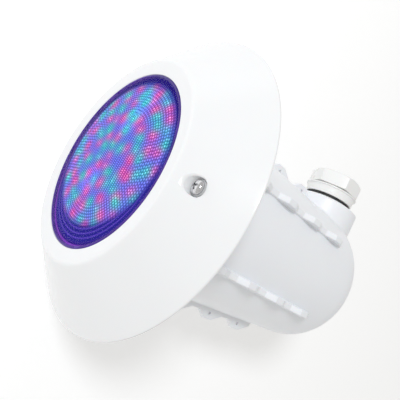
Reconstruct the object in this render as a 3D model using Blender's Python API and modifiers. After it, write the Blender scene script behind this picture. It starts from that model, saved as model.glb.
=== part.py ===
"""Underwater pool light with its wall niche.

Frame: metres, +Z up.  The origin is the centre of the face ring's back plane, which lies on the
finished pool wall.  -Y faces the pool, +Y goes into the wall.  The face screw is at the top (+Z)
and the cable outlet leaves the niche sideways (-X).

Turned pieces are drawn as (radius, height) outlines in millimetres.  For the pieces on the light's
own axis, height is the distance in front of the wall plane, so it is negative inside the wall.
"""

import math

import bmesh
import bpy
from mathutils import Matrix, Vector

MM = 0.001

# ---- driving dimensions, millimetres ---------------------------------------------------------
LENS_R = 81.5              # the part of the lens that shows
RING_R = 143.5             # rim of the face ring
RING_CREASE_R = 95.2       # where the flat collar turns into the conical flank
RING_HEIGHT = 42.2         # wall plane to the crease
RING_WALL = 3.2
GAP = 0.3                  # clearance between neighbours that touch

NICHE_FRONT_R = 83.8
NICHE_BACK_R = 72.5
NICHE_DEPTH = 274.2
NICHE_BACK_ROUND = 44.0
NICHE_WALL = 3.5
FLANGE_R = 128.0
FLANGE_THICK = 5.0

RIB_THICK = 6.0
RIB_PROUD = 5.0            # height of the plain rib above the niche wall
RIB_OFFSET = 41.0          # the four pull-direction ribs stand this far from the centre plane
RIB_START, RIB_END = 12.0, 204.5
LUG_FIRST, LUG_PITCH, LUG_COUNT = 54.0, 44.0, 4
LUG_OUTLINE = [(-15.5, 0.0), (-6.0, 7.2), (4.8, 7.2), (17.5, 0.0)]   # depth from its middle, height
LUG_HOLE_R = 1.7

SCREW_R_POS = 110.0        # face screw, distance above the centre
SCREW_R = 3.0
POCKET_R = 8.2
POCKET_FLOOR = 25.0
POST_R = 11.0
INSERT_R = 4.8
TONGUE_R_POS = 113.0       # locating tongue, distance below the centre
TONGUE_SIZE = (24.0, 3.0)

OUTLET_Y = 235.6           # depth of the cable outlet's axis
OUTLET_SEAT = 91.4         # the outlet's sealing face, from the light's axis
OUTLET_BOSS_R = 38.6
OUTLET_BORE_R = 22.8
NUT_FLATS = 53.0
NUT_TURN = math.radians(26.0)

CLAMP_SCREW_COUNT = 6
CLAMP_SCREW_CIRCLE = 93.5
BOARD_SCREW_COUNT = 3
BOARD_SCREW_CIRCLE = 60.0
DRIVER_SIZE = (70.0, 44.0, 1.6)
DRIVER_HEIGHT = 9.0
DRIVER_POSTS = [(29.0, 16.0), (-29.0, 16.0), (-29.0, -16.0), (29.0, -16.0)]

# Lamp layers, heights in front of the wall plane
LENS_FLANGE = (34.3, 37.3)
HOUSING_FLANGE = (28.5, 31.5)
HOUSING_BACK = -8.0
CLAMP_RING = (25.2, 28.2)
BOARD_HEIGHT = (24.0, 25.6)
SPREADER_HEIGHT = (21.4, 23.7)

FINE, MEDIUM, COARSE, SMALL = 64, 32, 16, 10     # segments round a turned piece

# ---- materials ----------------------------------------------------------------------------------
FINISHES = {
    "ring_white": ((0.90, 0.92, 0.93), 0.22, 0.0),
    "niche_white": ((0.82, 0.84, 0.85), 0.35, 0.0),
    "lens_blue": ((0.10, 0.08, 0.55), 0.08, 0.0),
    "seal_black": ((0.015, 0.015, 0.016), 0.55, 0.0),
    "seal_grey": ((0.55, 0.56, 0.57), 0.60, 0.0),
    "stainless": ((0.66, 0.66, 0.67), 0.18, 1.0),
    "brass": ((0.72, 0.52, 0.22), 0.25, 1.0),
    "aluminium": ((0.75, 0.76, 0.77), 0.35, 1.0),
    "board_white": ((0.86, 0.87, 0.88), 0.45, 0.0),
    "board_green": ((0.03, 0.22, 0.09), 0.40, 0.0),
}


def make_material(name):
    colour, roughness, metallic = FINISHES[name]
    material = bpy.data.materials.new(name)
    material.use_nodes = True
    shader = material.node_tree.nodes["Principled BSDF"]
    shader.inputs["Base Color"].default_value = (*colour, 1.0)
    shader.inputs["Roughness"].default_value = roughness
    shader.inputs["Metallic"].default_value = metallic
    return material


# ---- scene set-up -------------------------------------------------------------------------------
for old in list(bpy.data.objects):
    bpy.data.objects.remove(old, do_unlink=True)

PARTS = bpy.data.collections.new("pool_light")
CUTTERS = bpy.data.collections.new("cutters")
for collection in (PARTS, CUTTERS):
    bpy.context.scene.collection.children.link(collection)
MATERIALS = {name: make_material(name) for name in FINISHES}

FRONT = (math.pi / 2, 0.0, 0.0)       # local +Z to -Y: the light's own axis
OUTLET = (0.0, -math.pi / 2, 0.0)     # local +Z to -X: the outlet's axis


# ---- helpers ------------------------------------------------------------------------------------
def add_object(name, mesh, finish=None, turn=FRONT, at=(0.0, 0.0, 0.0)):
    """An object from a mesh; without a finish it is a cutter."""
    obj = bpy.data.objects.new(name, mesh)
    obj.rotation_euler = turn
    obj.location = [value * MM for value in at]
    if finish is None:
        CUTTERS.objects.link(obj)
        obj.hide_render = True
        obj.display_type = "WIRE"
    else:
        PARTS.objects.link(obj)
        mesh.materials.append(MATERIALS[finish])
    return obj


def rounded(corners, steps=2):
    """Corners (r, h) or (r, h, fillet radius) of a closed outline, with the fillets as arcs."""
    points = []
    count = len(corners)
    for index, corner in enumerate(corners):
        here = Vector(corner[:2])
        radius = corner[2] if len(corner) > 2 else 0.0
        if radius == 0.0:
            points.append(here)
            continue
        back = Vector(corners[index - 1][:2]) - here
        ahead = Vector(corners[(index + 1) % count][:2]) - here
        half = back.angle(ahead) / 2
        reach = radius / math.tan(half)
        bisector = (back.normalized() + ahead.normalized()).normalized()
        centre = here + bisector * radius / math.sin(half)
        start = here + back.normalized() * reach - centre
        end = here + ahead.normalized() * reach - centre
        sweep = start.angle_signed(end)
        for step in range(steps + 1):
            points.append(centre + Matrix.Rotation(-sweep * step / steps, 2) @ start)
    return points


def turned(name, corners, finish=None, turn=FRONT, at=(0.0, 0.0, 0.0), segments=FINE,
           closed=True, steps=2):
    """A turned piece.  The outline runs down the outer side; an open one starts and ends at r = 0."""
    outline = rounded(corners, steps)
    mesh = bpy.data.meshes.new(name)
    form = bmesh.new()
    verts = [form.verts.new((point[0] * MM, 0.0, point[1] * MM)) for point in outline]
    for first, second in zip(verts, verts[1:]):
        form.edges.new((first, second))
    if closed:
        form.edges.new((verts[-1], verts[0]))
    form.to_mesh(mesh)
    form.free()
    obj = add_object(name, mesh, finish, turn, at)
    screw = obj.modifiers.new("turn", "SCREW")
    screw.axis = "Z"
    screw.angle = math.tau
    screw.steps = screw.render_steps = segments
    screw.use_merge_vertices = True
    screw.merge_threshold = 0.00001
    return obj


def cylinder(name, radius, low, high, finish=None, turn=FRONT, at=(0.0, 0.0, 0.0), segments=COARSE):
    mesh = bpy.data.meshes.new(name)
    form = bmesh.new()
    lift = Matrix.Translation((0.0, 0.0, (low + high) / 2 * MM))
    bmesh.ops.create_cone(form, cap_ends=True, segments=segments, radius1=radius * MM,
                          radius2=radius * MM, depth=(high - low) * MM, matrix=lift)
    form.to_mesh(mesh)
    form.free()
    return add_object(name, mesh, finish, turn, at)


def hexagon(name, flats, low, high, finish=None, turn=FRONT, at=(0.0, 0.0, 0.0), spin=0.0):
    """A hexagonal prism; spin turns one flat's normal from the local X axis."""
    obj = cylinder(name, flats / math.sqrt(3), low, high, finish, turn, at, segments=6)
    obj.data.transform(Matrix.Rotation(spin + math.radians(30), 4, "Z"))
    return obj


def block(name, low, high, finish=None):
    """A box between two corners, world axes."""
    mesh = bpy.data.meshes.new(name)
    form = bmesh.new()
    size = [(b - a) * MM for a, b in zip(low, high)]
    centre = [(a + b) / 2 * MM for a, b in zip(low, high)]
    place = Matrix.Translation(centre) @ Matrix.Diagonal((*size, 1.0))
    bmesh.ops.create_cube(form, size=1.0, matrix=place)
    form.to_mesh(mesh)
    form.free()
    return add_object(name, mesh, finish, (0.0, 0.0, 0.0))


def plate(name, outline, thickness, out, side_offset=0.0):
    """A flat plate: outline (depth, height) along +Y and `out`, centred `side_offset` to its side."""
    mesh = bpy.data.meshes.new(name)
    form = bmesh.new()
    verts = [form.verts.new((d * MM, h * MM, -thickness / 2 * MM)) for d, h in outline]
    face = form.faces.new(verts)
    grown = bmesh.ops.extrude_face_region(form, geom=[face])
    moved = [item for item in grown["geom"] if isinstance(item, bmesh.types.BMVert)]
    bmesh.ops.translate(form, verts=moved, vec=(0.0, 0.0, thickness * MM))
    bmesh.ops.recalc_face_normals(form, faces=form.faces)
    form.to_mesh(mesh)
    form.free()
    obj = add_object(name, mesh)
    along, out = Vector((0.0, 1.0, 0.0)), Vector(out)
    side = along.cross(out)
    obj.matrix_world = (Matrix.Translation(side * side_offset * MM)
                        @ Matrix((along, out, side)).transposed().to_4x4())
    return obj


def boolean(obj, operation, *tools):
    for tool in tools:
        modifier = obj.modifiers.new(f"{operation.lower()}_{tool.name}", "BOOLEAN")
        modifier.operation = operation
        modifier.object = tool
        modifier.solver = "EXACT"


def around(count, radius, start=0.0):
    """World (x, y, z) of `count` places on a circle round the light's axis."""
    turns = [start + math.tau * index / count for index in range(count)]
    return [(radius * math.cos(turn), 0.0, radius * math.sin(turn)) for turn in turns]


# ---- face ring ----------------------------------------------------------------------------------
def flank_height(radius, inset=0.0):
    """Height of the ring's conical flank at a radius, measured `inset` below its outer surface."""
    slope = (RING_HEIGHT - 1.5) / (RING_R - RING_CREASE_R)
    return RING_HEIGHT - (radius - RING_CREASE_R) * slope - inset * math.hypot(1.0, slope)


def ring_envelope():
    """What may be added under the ring without showing through its outer surface."""
    inset = 0.6
    return turned("ring_envelope", [
        (0.0, RING_HEIGHT - 2.5), (RING_CREASE_R - 1.0, RING_HEIGHT - 2.5),
        (RING_R - 3.0, flank_height(RING_R - 3.0, inset)), (RING_R - 3.0, -20.0), (0.0, -20.0),
    ], closed=False)


def build_face_ring():
    lip_top, lip_bottom = RING_HEIGHT - 1.4, RING_HEIGHT - 4.6
    ring = turned("face_ring", [
        (LENS_R + GAP, lip_top, 0.8), (RING_CREASE_R, RING_HEIGHT, 4.0), (RING_R, 1.5, 1.2),
        (RING_R, 0.0), (RING_R - 3.4, 0.0),
        (RING_CREASE_R - 1.0, flank_height(RING_CREASE_R - 1.0, RING_WALL)),
        (RING_CREASE_R - 4.0, lip_bottom), (LENS_R + GAP, lip_bottom),
    ], "ring_white")
    envelope = ring_envelope()
    posts = [cylinder("ring_screw_post", POST_R, FLANGE_THICK + 0.6, RING_HEIGHT + 5,
                      at=(0.0, 0.0, SCREW_R_POS), segments=MEDIUM)]
    for index, place in enumerate(around(CLAMP_SCREW_COUNT, CLAMP_SCREW_CIRCLE)):
        posts.append(cylinder(f"ring_clamp_post_{index + 1}", 4.6, CLAMP_RING[1] + GAP,
                              RING_HEIGHT + 5, at=place))
    half, thick = TONGUE_SIZE[0] / 2, TONGUE_SIZE[1]
    low_z = -TONGUE_R_POS - thick / 2
    posts.append(block("ring_tongue", (-half, -RING_HEIGHT, low_z), (half, -0.4, low_z + thick)))
    for post in posts:
        boolean(post, "INTERSECT", envelope)
    boolean(ring, "UNION", *posts)
    pocket = cylinder("screw_pocket", POCKET_R, POCKET_FLOOR, RING_HEIGHT + 5,
                      at=(0.0, 0.0, SCREW_R_POS), segments=MEDIUM)
    bore = cylinder("screw_bore", SCREW_R + 0.4, 0.0, POCKET_FLOOR + 1,
                    at=(0.0, 0.0, SCREW_R_POS))
    pilots = [cylinder(f"clamp_pilot_{index + 1}", 1.9, CLAMP_RING[1] - 1, 37.0, at=place)
              for index, place in enumerate(around(CLAMP_SCREW_COUNT, CLAMP_SCREW_CIRCLE))]
    boolean(ring, "DIFFERENCE", pocket, bore, *pilots)


# ---- lamp ---------------------------------------------------------------------------------------
def build_lens():
    low, high = LENS_FLANGE
    edge, crown = RING_HEIGHT - 1.4, RING_HEIGHT + 3.2
    bulge = 40.0           # radius at which the dome has risen most of the way
    turned("lens", [
        (0.0, crown), (bulge, crown - 1.1), (LENS_R - 8.0, edge + 0.9), (LENS_R, edge - 0.6, 1.0),
        (LENS_R, high), (87.0, high), (87.0, low), (77.5, low), (77.0, edge - 3.6),
        (bulge, crown - 4.3), (0.0, crown - 3.2),
    ], "lens_blue", closed=False)
    turned("lens_gasket", [(86.6, low - GAP), (86.6, HOUSING_FLANGE[1] + GAP),
                           (80.5, HOUSING_FLANGE[1] + GAP), (80.5, low - GAP)], "seal_grey",
           segments=48)


def build_housing():
    low, high = HOUSING_FLANGE
    floor = HOUSING_BACK + 2.5
    housing = turned("lamp_housing", [
        (88.5, high), (88.5, low, 0.8), (80.0, low), (71.0, HOUSING_BACK, 8.0), (8.2, HOUSING_BACK),
        (8.2, floor), (68.0, floor, 6.0), (77.5, high),
    ], "ring_white", segments=48)
    sites = around(BOARD_SCREW_COUNT, BOARD_SCREW_CIRCLE, math.pi / 2)
    posts = [cylinder(f"board_post_{index + 1}", 4.0, floor - 1.2, SPREADER_HEIGHT[0] - GAP, at=site,
                      segments=12) for index, site in enumerate(sites)]
    posts += [cylinder(f"driver_post_{index + 1}", 3.0, floor - 1.2, DRIVER_HEIGHT - 1.9,
                       at=(x, 0.0, z), segments=12) for index, (x, z) in enumerate(DRIVER_POSTS)]
    pilots = [cylinder(f"board_pilot_{index + 1}", 1.9, 8.0, SPREADER_HEIGHT[0] + 2, at=site,
                       segments=10) for index, site in enumerate(sites)]
    pilots += [cylinder(f"driver_pilot_{index + 1}", 1.3, 1.6, DRIVER_HEIGHT, at=(x, 0.0, z),
                        segments=10) for index, (x, z) in enumerate(DRIVER_POSTS[0::2])]
    boolean(housing, "UNION", *posts)
    boolean(housing, "DIFFERENCE", *pilots)


def build_clamp_ring():
    low, high = CLAMP_RING
    clamp = turned("lamp_clamp_ring", [(98.4, high), (98.4, low), (82.5, low), (82.5, high)],
                   "stainless", segments=48)
    for index, place in enumerate(around(CLAMP_SCREW_COUNT, CLAMP_SCREW_CIRCLE)):
        number = index + 1
        boolean(clamp, "DIFFERENCE", cylinder(f"clamp_hole_{number}", 2.0, low - 1, high + 1, at=place))
        pan_screw(f"clamp_screw_{number}", 1.6, 3.6, low - GAP, 36.0, place)


def pan_screw(name, shank, head, seat, tip, at):
    """A small pan-head screw driven from behind: head below `seat`, shank up to `tip`."""
    turned(name, [(0.0, tip), (shank, tip - 1.0), (shank, seat), (head, seat), (head, seat - 1.4),
                  (head * 0.7, seat - 2.2), (0.0, seat - 2.4)],
           "stainless", at=at, segments=SMALL, closed=False)


def build_boards():
    sites = around(BOARD_SCREW_COUNT, BOARD_SCREW_CIRCLE, math.pi / 2)
    board = cylinder("led_board", 74.0, *BOARD_HEIGHT, finish="board_white", segments=48)
    spreader = cylinder("heat_spreader", 72.0, *SPREADER_HEIGHT, finish="aluminium", segments=48)
    holes = [cylinder(f"board_hole_{index + 1}", 1.9, SPREADER_HEIGHT[0] - 1, BOARD_HEIGHT[1] + 1, at=site)
             for index, site in enumerate(sites)]
    boolean(board, "DIFFERENCE", *holes)
    boolean(spreader, "DIFFERENCE", *holes)
    seat = BOARD_HEIGHT[1] + GAP
    for index, site in enumerate(sites):
        turned(f"board_screw_{index + 1}", [
            (0.0, seat + 2.2), (2.2, seat + 1.9), (3.2, seat + 1.0), (3.2, seat), (1.5, seat),
            (1.5, 10.0), (0.0, 9.0)], "stainless", at=site, segments=SMALL, closed=False)
    width, height, thick = DRIVER_SIZE
    driver = block("driver_board", (-width / 2, -DRIVER_HEIGHT, -height / 2),
                   (width / 2, thick - DRIVER_HEIGHT, height / 2), "board_green")
    seat = DRIVER_HEIGHT + GAP
    for index, (x, z) in enumerate(DRIVER_POSTS[0::2]):
        site = (x, 0.0, z)
        boolean(driver, "DIFFERENCE", cylinder(f"driver_hole_{index + 1}", 1.4, 5.0, 12.0, at=site))
        turned(f"driver_screw_{index + 1}", [
            (0.0, seat + 1.7), (1.7, seat + 1.4), (2.4, seat + 0.7), (2.4, seat), (1.0, seat),
            (1.0, 3.0), (0.0, 2.4)], "stainless", at=site, segments=SMALL, closed=False)


def build_lamp_gland():
    """The gland that the lamp's lead leaves by, on the middle of the housing's back."""
    back, inside = HOUSING_BACK, HOUSING_BACK + 2.5
    cylinder_top = inside + 5.5
    body = turned("lamp_gland_body", [
        (7.8, cylinder_top), (7.8, back - 2.3), (13.5, back - 2.3), (13.5, back - 6.0, 0.8),
        (9.3, back - 6.0), (9.3, back - 16.0), (6.6, back - 16.0), (6.6, back - 9.0),
        (4.2, back - 8.0), (4.2, cylinder_top),
    ], "ring_white", segments=24, steps=1)
    spanner = hexagon("lamp_gland_spanner", 22.0, back - 7.0, back - 2.0)
    top_keep = cylinder("lamp_gland_core", 10.5, back - 30.0, back + 12.0, segments=MEDIUM)
    boolean(spanner, "UNION", top_keep)
    boolean(body, "INTERSECT", spanner)
    turned("lamp_gland_o_ring", [(11.2, back - GAP, 0.6), (11.2, back - 2.0, 0.6),
                                 (8.2, back - 2.0, 0.6), (8.2, back - GAP, 0.6)],
           "seal_black", segments=24, steps=1)
    locknut = hexagon("lamp_gland_locknut", 22.0, inside + GAP, inside + 4.3, "ring_white")
    boolean(locknut, "DIFFERENCE", cylinder("locknut_bore", 8.1, inside - 1, inside + 6, segments=MEDIUM))
    turned("lamp_gland_seal", [(6.3, back - 9.4), (6.3, back - 15.8, 0.8), (3.6, back - 15.8),
                               (3.6, back - 9.4)], "seal_black", segments=24, steps=1)
    turned("lamp_gland_washer", [(6.2, back - 16.3), (6.2, back - 17.3), (4.0, back - 17.3),
                                 (4.0, back - 16.3)], "stainless", segments=MEDIUM)
    nut = turned("lamp_gland_nut", [
        (13.5, back - 7.0), (13.5, back - 20.5, 2.0), (4.4, back - 20.5), (4.4, back - 17.6),
        (9.6, back - 17.6), (9.6, back - 7.0)], "ring_white", segments=24, steps=1)
    boolean(nut, "INTERSECT", hexagon("lamp_gland_nut_hex", 23.0, back - 24.0, back - 5.0))


# ---- face screw ---------------------------------------------------------------------------------
def build_face_screw():
    at = (0.0, 0.0, SCREW_R_POS)
    floor = POCKET_FLOOR
    turned("face_screw_washer", [(6.4, floor + 1.5), (6.4, floor + GAP), (3.3, floor + GAP),
                                 (3.3, floor + 1.5)], "seal_grey", at=at, segments=24)
    seat = floor + 1.8
    screw = turned("face_screw", [
        (0.0, seat + 4.4), (2.6, seat + 4.1), (4.8, seat + 3.0), (6.0, seat + 1.3), (6.0, seat),
        (SCREW_R, seat), (SCREW_R, -5.0), (SCREW_R - 0.9, -6.5), (0.0, -6.5)],
        "stainless", at=at, segments=24, closed=False)
    slots = []
    for index, turn in enumerate((0.35, 0.35 + math.pi / 2)):
        slot = block(f"screw_slot_{index + 1}", (-3.1, -seat - 6.0, -0.75), (3.1, -seat - 2.2, 0.75))
        slot.rotation_euler = (0.0, turn, 0.0)
        slot.location = (0.0, 0.0, SCREW_R_POS * MM)
        slots.append(slot)
    boolean(screw, "DIFFERENCE", *slots)
    turned("face_screw_insert", [(INSERT_R, FLANGE_THICK - GAP), (INSERT_R, -8.3),
                                 (SCREW_R + 0.15, -8.3), (SCREW_R + 0.15, FLANGE_THICK - GAP)],
           "brass", at=at, segments=24)


# ---- niche --------------------------------------------------------------------------------------
def niche_radius(depth):
    return NICHE_FRONT_R + (NICHE_BACK_R - NICHE_FRONT_R) * depth / NICHE_DEPTH


def rib_outline(radius_at, last_lug, end):
    """A rib from front to back: a plain bar with trapezoid anchor lugs on its outer edge."""
    root = 12.0            # how far the bar reaches into the niche before the cavity is cut
    points = [(RIB_START, radius_at(RIB_START) - root), (RIB_START, radius_at(RIB_START) + 1.0),
              (RIB_START + RIB_PROUD, radius_at(RIB_START) + RIB_PROUD)]
    for index in range(last_lug):
        middle = LUG_FIRST + LUG_PITCH * index
        bar = radius_at(middle) + RIB_PROUD
        points += [(middle + along, bar + rise) for along, rise in LUG_OUTLINE]
    points += [(end, radius_at(end) + RIB_PROUD - 1.0), (end, radius_at(end) - root)]
    return points


def offset_radius(depth):
    """Height of the niche wall above the centre plane, at the offset ribs."""
    return math.sqrt(niche_radius(depth) ** 2 - RIB_OFFSET ** 2)


def build_ribs():
    side = rib_outline(niche_radius, LUG_COUNT, RIB_END)
    upright = rib_outline(offset_radius, LUG_COUNT, RIB_END)
    ribs = [plate("rib_left", side, RIB_THICK, (-1.0, 0.0, 0.0)),
            plate("rib_right", side, RIB_THICK, (1.0, 0.0, 0.0))]
    for name, out in (("upper", (0.0, 0.0, 1.0)), ("lower", (0.0, 0.0, -1.0))):
        for place, offset in (("a", RIB_OFFSET), ("b", -RIB_OFFSET)):
            ribs.append(plate(f"rib_{name}_{place}", upright, RIB_THICK, out, offset))
    return ribs


def lug_holes():
    holes = []
    for index in range(LUG_COUNT):
        depth = LUG_FIRST + LUG_PITCH * index - 1.0
        reach = niche_radius(depth) + RIB_PROUD + 0.8
        for side in (-1.0, 1.0):
            name = f"lug_hole_{index + 1}_{'left' if side < 0 else 'right'}"
            holes.append(cylinder(name, LUG_HOLE_R, -10.0, 10.0, turn=(0.0, 0.0, 0.0),
                                  at=(side * reach, depth, 0.0), segments=8))
    return holes


def build_niche():
    back = -NICHE_DEPTH
    niche = turned("niche_body", [
        (0.0, FLANGE_THICK), (FLANGE_R, FLANGE_THICK, 1.2), (FLANGE_R, 0.0, 1.2),
        (NICHE_FRONT_R, 0.0), (NICHE_BACK_R, back, NICHE_BACK_ROUND), (0.0, back)],
        "niche_white", closed=False, steps=4)
    outlet_at = (0.0, OUTLET_Y, 0.0)
    boss = turned("outlet_boss", [
        (0.0, OUTLET_SEAT), (28.5, OUTLET_SEAT, 1.0), (OUTLET_BOSS_R, OUTLET_SEAT - 3.4, 2.0),
        (OUTLET_BOSS_R, 40.0), (0.0, 40.0)], turn=OUTLET, at=outlet_at, segments=48, closed=False)
    screw_boss = cylinder("insert_boss", 8.0, -10.6, FLANGE_THICK - 0.5,
                          at=(0.0, 0.0, SCREW_R_POS), segments=MEDIUM)
    boolean(niche, "UNION", boss, screw_boss, *build_ribs())

    wall = NICHE_WALL
    cavity = turned("niche_cavity", [
        (0.0, FLANGE_THICK + 5.0), (NICHE_FRONT_R - wall, FLANGE_THICK + 5.0),
        (NICHE_FRONT_R - wall, 0.0),
        (NICHE_BACK_R - wall, back + wall, NICHE_BACK_ROUND - wall), (0.0, back + wall)],
        segments=48, closed=False, steps=4)
    outlet_bore = cylinder("outlet_bore", OUTLET_BORE_R, 30.0, OUTLET_SEAT + 5, turn=OUTLET,
                           at=outlet_at, segments=MEDIUM)
    insert_hole = cylinder("insert_hole", INSERT_R + GAP, -8.6, FLANGE_THICK + 2,
                           at=(0.0, 0.0, SCREW_R_POS), segments=MEDIUM)
    half, thick = TONGUE_SIZE[0] / 2 + 0.6, TONGUE_SIZE[1] / 2 + 0.6
    slot = block("tongue_slot", (-half, -10.0, -TONGUE_R_POS - thick),
                 (half, 5.0, -TONGUE_R_POS + thick))
    boolean(niche, "DIFFERENCE", cavity, outlet_bore, insert_hole, slot, *lug_holes())


# ---- cable outlet -------------------------------------------------------------------------------
def build_outlet():
    """The sealing gland on the niche's outlet boss; heights are distances from the light's axis."""
    place = {"turn": OUTLET, "at": (0.0, OUTLET_Y, 0.0)}
    seat = OUTLET_SEAT
    turned("outlet_o_ring", [(27.2, seat + 3.2, 1.2), (27.2, seat + GAP, 1.2),
                             (24.2, seat + GAP, 1.2), (24.2, seat + 3.2, 1.2)],
           "seal_black", segments=48, **place)
    flange_low, flange_high = seat + 3.5, seat + 14.0
    top = seat + 27.4
    turned("outlet_adapter", [
        (22.4, top, 0.8), (22.4, flange_high), (30.8, flange_high, 0.4), (30.8, flange_high - 1.4, 0.4),
        (29.2, flange_high - 2.0), (28.2, flange_low, 0.6), (22.4, flange_low), (22.4, seat - 20.0),
        (17.5, seat - 20.0), (17.5, flange_high - 3.0), (18.8, flange_high - 1.5), (18.8, top)],
        "niche_white", segments=40, steps=1, **place)
    seal_top = top - 4.0
    turned("outlet_seal", [(18.4, seal_top, 1.0), (18.4, flange_high - 1.0), (6.5, flange_high - 1.0),
                           (6.5, seal_top, 1.0)], "seal_black", segments=24, steps=1, **place)
    turned("outlet_washer", [(18.3, seal_top + 2.0), (18.3, seal_top + 0.4), (7.4, seal_top + 0.4),
                             (7.4, seal_top + 2.0)], "stainless", segments=24, **place)
    nut_low, nut_high = seat + 16.2, seat + 32.8
    nut = turned("outlet_cap_nut", [
        (28.0, nut_high, 1.5), (32.0, nut_high - 3.0), (32.0, nut_low + 0.8), (31.4, nut_low),
        (22.8, nut_low), (22.8, top + 0.6), (18.2, top + 0.6), (18.2, seal_top + 2.4),
        (8.0, seal_top + 2.4), (8.0, nut_high)],
        "niche_white", segments=40, **place)
    boolean(nut, "INTERSECT", hexagon("cap_nut_hex", NUT_FLATS, nut_low - 5, nut_high + 5,
                                      spin=math.pi / 2 + NUT_TURN, **place))


build_face_ring()
build_lens()
build_housing()
build_clamp_ring()
build_boards()
build_lamp_gland()
build_face_screw()
build_niche()
build_outlet()

for part in PARTS.objects:
    part.data.shade_smooth()
    part.data.set_sharp_from_angle(angle=math.radians(35))
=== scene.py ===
import math

import bmesh
import bpy
import numpy as np
from mathutils import Matrix, Vector


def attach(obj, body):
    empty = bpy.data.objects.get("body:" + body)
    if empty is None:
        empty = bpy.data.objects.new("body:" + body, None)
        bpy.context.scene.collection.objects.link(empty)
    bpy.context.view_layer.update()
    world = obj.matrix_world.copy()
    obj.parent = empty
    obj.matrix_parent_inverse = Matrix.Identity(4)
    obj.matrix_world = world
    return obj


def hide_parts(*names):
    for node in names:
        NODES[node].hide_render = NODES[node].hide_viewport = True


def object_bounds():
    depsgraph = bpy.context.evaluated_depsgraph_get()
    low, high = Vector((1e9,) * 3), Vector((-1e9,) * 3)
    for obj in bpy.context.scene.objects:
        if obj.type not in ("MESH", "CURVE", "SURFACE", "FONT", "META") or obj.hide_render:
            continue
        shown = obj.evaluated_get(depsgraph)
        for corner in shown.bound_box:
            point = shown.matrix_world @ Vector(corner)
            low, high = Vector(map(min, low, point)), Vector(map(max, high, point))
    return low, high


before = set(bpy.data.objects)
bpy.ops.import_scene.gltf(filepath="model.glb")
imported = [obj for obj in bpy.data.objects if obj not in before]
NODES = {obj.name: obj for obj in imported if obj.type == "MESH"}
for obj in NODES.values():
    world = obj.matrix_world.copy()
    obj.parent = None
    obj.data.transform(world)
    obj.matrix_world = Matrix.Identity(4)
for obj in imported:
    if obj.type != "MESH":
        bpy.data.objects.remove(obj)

CAD_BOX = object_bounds()
MM = 0.001

# ---- the object's own sizes, millimetres, as in the CAD but for a smaller screw pocket -----------
LENS_R, RING_R, CREASE_R, RING_HEIGHT, RING_WALL = 81.5, 143.5, 95.2, 42.2, 3.2
TONGUE_Z = 114.5
SCREW_Z, POCKET_R, POCKET_FLOOR, SCREW_SEAT = 110.0, 7.2, 25.0, 26.8
FLANK_SLOPE = (RING_HEIGHT - 1.5) / (RING_R - CREASE_R)
NICHE_FRONT, NICHE_BACK, NICHE_DEPTH, NICHE_ROUND, NICHE_WALL = 83.8, 72.5, 274.2, 44.0, 3.5
FLANGE_R, FLANGE_FRONT = 128.0, -5.0
RIB_OFFSET, RIB_HALF, RIB_PROUD, RIB_START, RIB_END, RIB_SINK = 41.0, 3.0, 5.0, 12.0, 204.5, 0.15
LUG_FIRST, LUG_PITCH, LUG_COUNT = 54.0, 44.0, 4
LUG_OUTLINE = ((-15.5, 0.0), (-6.0, 7.2), (4.8, 7.2), (17.5, 0.0))
OUTLET_Y, OUTLET_SEAT, BOSS_R = 235.6, 91.4, 38.6
NUT_FLATS, NUT_TURN = 53.0, math.radians(26.0)
CLAMP_SCREWS, CLAMP_CIRCLE = 6, 93.5
BOARD_R, LED_BOARD_FRONT, DRIVER_BOARD_FRONT = 74.0, 25.6, 9.0


# ---- mesh helpers ---------------------------------------------------------------------------------
def rounded(corners, steps=6, closed=True):
    """Corners (a, b) or (a, b, fillet radius) as a list of points, with the fillets as arcs."""
    points, count = [], len(corners)
    for index, corner in enumerate(corners):
        here = Vector(corner[:2])
        radius = corner[2] if len(corner) > 2 else 0.0
        if radius == 0.0 or (not closed and index in (0, count - 1)):
            points.append(here)
            continue
        back = (Vector(corners[index - 1][:2]) - here).normalized()
        ahead = (Vector(corners[(index + 1) % count][:2]) - here).normalized()
        half = back.angle(ahead) / 2
        centre = here + (back + ahead).normalized() * radius / math.sin(half)
        start = here + back * radius / math.tan(half) - centre
        end = here + ahead * radius / math.tan(half) - centre
        sweep = start.angle_signed(end)
        for step in range(steps + 1):
            points.append(centre + Matrix.Rotation(-sweep * step / steps, 2) @ start)
    return points


def divided(points, longest, closed=True):
    """The same outline with every stretch cut into pieces no longer than `longest`."""
    result = []
    stretches = zip(points, points[1:] + points[:1]) if closed else zip(points, points[1:])
    for first, second in stretches:
        pieces = max(1, math.ceil((second - first).length / longest))
        result += [first.lerp(second, piece / pieces) for piece in range(pieces)]
    return result if closed else result + [points[-1]]


def on_light_axis(r, h, turn, at=(0.0, 0.0)):
    """A point at radius r and depth h round an axis along +Y through x, z = at."""
    return (at[0] + r * math.cos(turn), h, at[1] + r * math.sin(turn))


def on_outlet_axis(r, h, turn):
    """A point at radius r and distance h from the light's axis, round the outlet's axis."""
    return (-h, OUTLET_Y + r * math.cos(turn), r * math.sin(turn))


def around_screw(r, h, turn):
    """A point at radius r and depth h round the face screw's axis."""
    return on_light_axis(r, h, turn, (0.0, SCREW_Z))


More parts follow.
